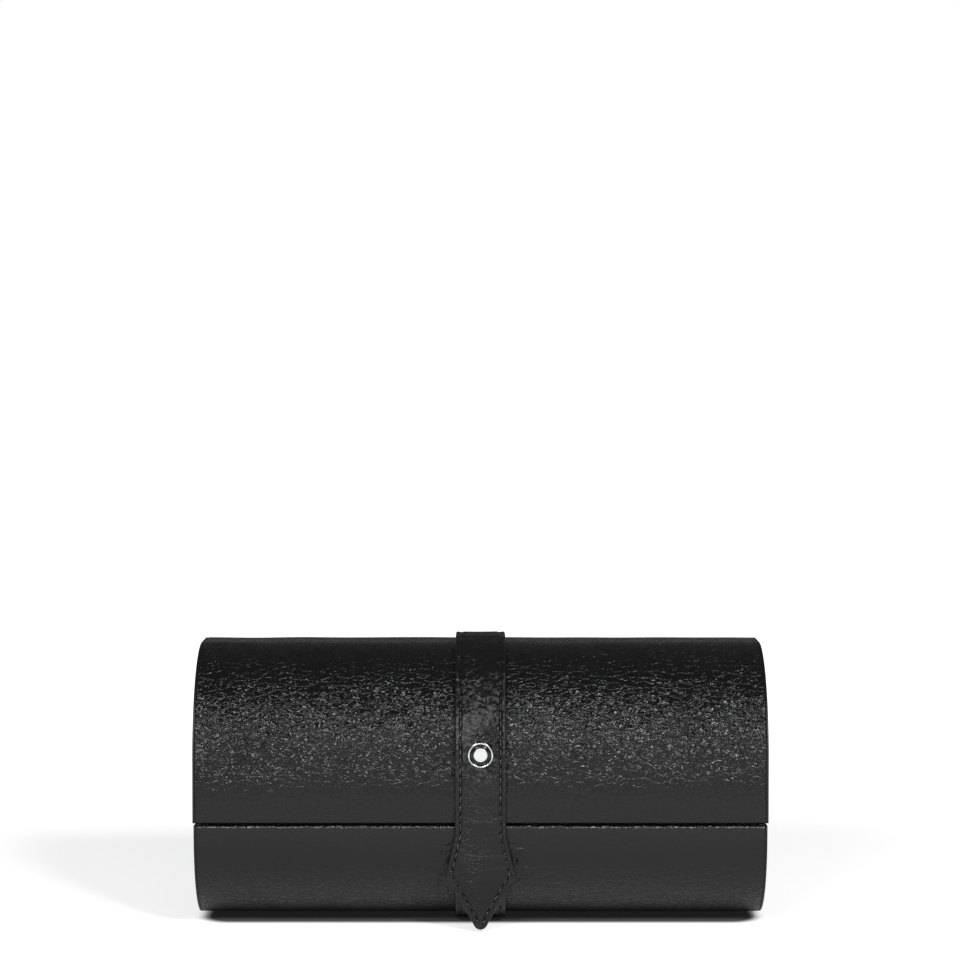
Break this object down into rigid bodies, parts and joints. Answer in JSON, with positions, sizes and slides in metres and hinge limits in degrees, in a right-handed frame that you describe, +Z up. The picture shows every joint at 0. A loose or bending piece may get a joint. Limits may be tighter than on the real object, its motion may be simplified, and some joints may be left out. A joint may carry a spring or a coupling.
{
  "type": "watch travel case",
  "caption": "Rounded leather travel case with a hinged lid, a pointed closing strap with a round emblem, and divided bays with watch pillows.",
  "frame": {"origin": "on the ground under the middle of the case, in the middle of the belt's flat underside", "axes": "+X along the case to its right end, -Y to the front with the strap, +Z up"},
  "size_m": [0.19, 0.0908, 0.0952],
  "materials": {
    "grain_leather": "pebble-grained calf leather, black, satin",
    "smooth_leather": "fine-grained strap leather, black, stitched, painted edges",
    "edge_leather": "flat end panels, black, painted rim",
    "suede_lining": "warm grey suede lining",
    "pillow_suede": "padded suede watch pillow",
    "board": "dense fibre board",
    "steel": "plain steel counter-plate",
    "magnet": "nickel-plated magnet",
    "bright_metal": "polished emblem ring and disc",
    "black_enamel": "black enamel field"
  },
  "bodies": {
    "base": {"base_board": "board", "base_end_board_left": "board", "base_end_board_right": "board", "base_leather": "grain_leather", "base_end_leather_left": "edge_leather", "base_end_leather_right": "edge_leather", "base_lining": "suede_lining", "base_collar": "suede_lining", "floor_pad": "suede_lining", "divider_left": "suede_lining", "divider_right": "suede_lining", "belt_lower_leather": "smooth_leather", "belt_lower_lining": "smooth_leather", "closure_plate": "steel"},
    "lid": {"lid_board": "board", "lid_end_board_left": "board", "lid_end_board_right": "board", "lid_leather": "grain_leather", "lid_end_leather_left": "edge_leather", "lid_end_leather_right": "edge_leather", "lid_lining": "suede_lining", "lid_pad": "suede_lining", "belt_back_leather": "smooth_leather", "belt_back_lining": "smooth_leather"},
    "strap": {"strap_leather": "smooth_leather", "strap_lining": "smooth_leather", "tongue_magnet": "magnet", "emblem_bezel": "bright_metal", "emblem_field": "black_enamel", "emblem_dot": "bright_metal", "emblem_pin": "steel"},
    "left_pillow": {"pillow_left": "pillow_suede"},
    "middle_pillow": {"pillow_middle": "pillow_suede"},
    "right_pillow": {"pillow_right": "pillow_suede"}
  },
  "joints": [
    {"name": "lid_open", "type": "hinge", "parent": "base", "child": "lid", "pos_m": [0, 0.043, 0.0359], "axis": [-1, 0, 0], "range_deg": [0, 105]},
    {"name": "strap_lift", "type": "hinge", "parent": "lid", "child": "strap", "pos_m": [0, -0.008, 0.0952], "axis": [-1, 0, 0], "range_deg": [0, 110]},
    {"name": "pillow_left_lift", "type": "slide", "parent": "base", "child": "left_pillow", "axis": [0, 0, 1], "range_m": [0, 0.014]},
    {"name": "pillow_middle_lift", "type": "slide", "parent": "base", "child": "middle_pillow", "axis": [0, 0, 1], "range_m": [0, 0.014]},
    {"name": "pillow_right_lift", "type": "slide", "parent": "base", "child": "right_pillow", "axis": [0, 0, 1], "range_m": [0, 0.014]}
  ]
}
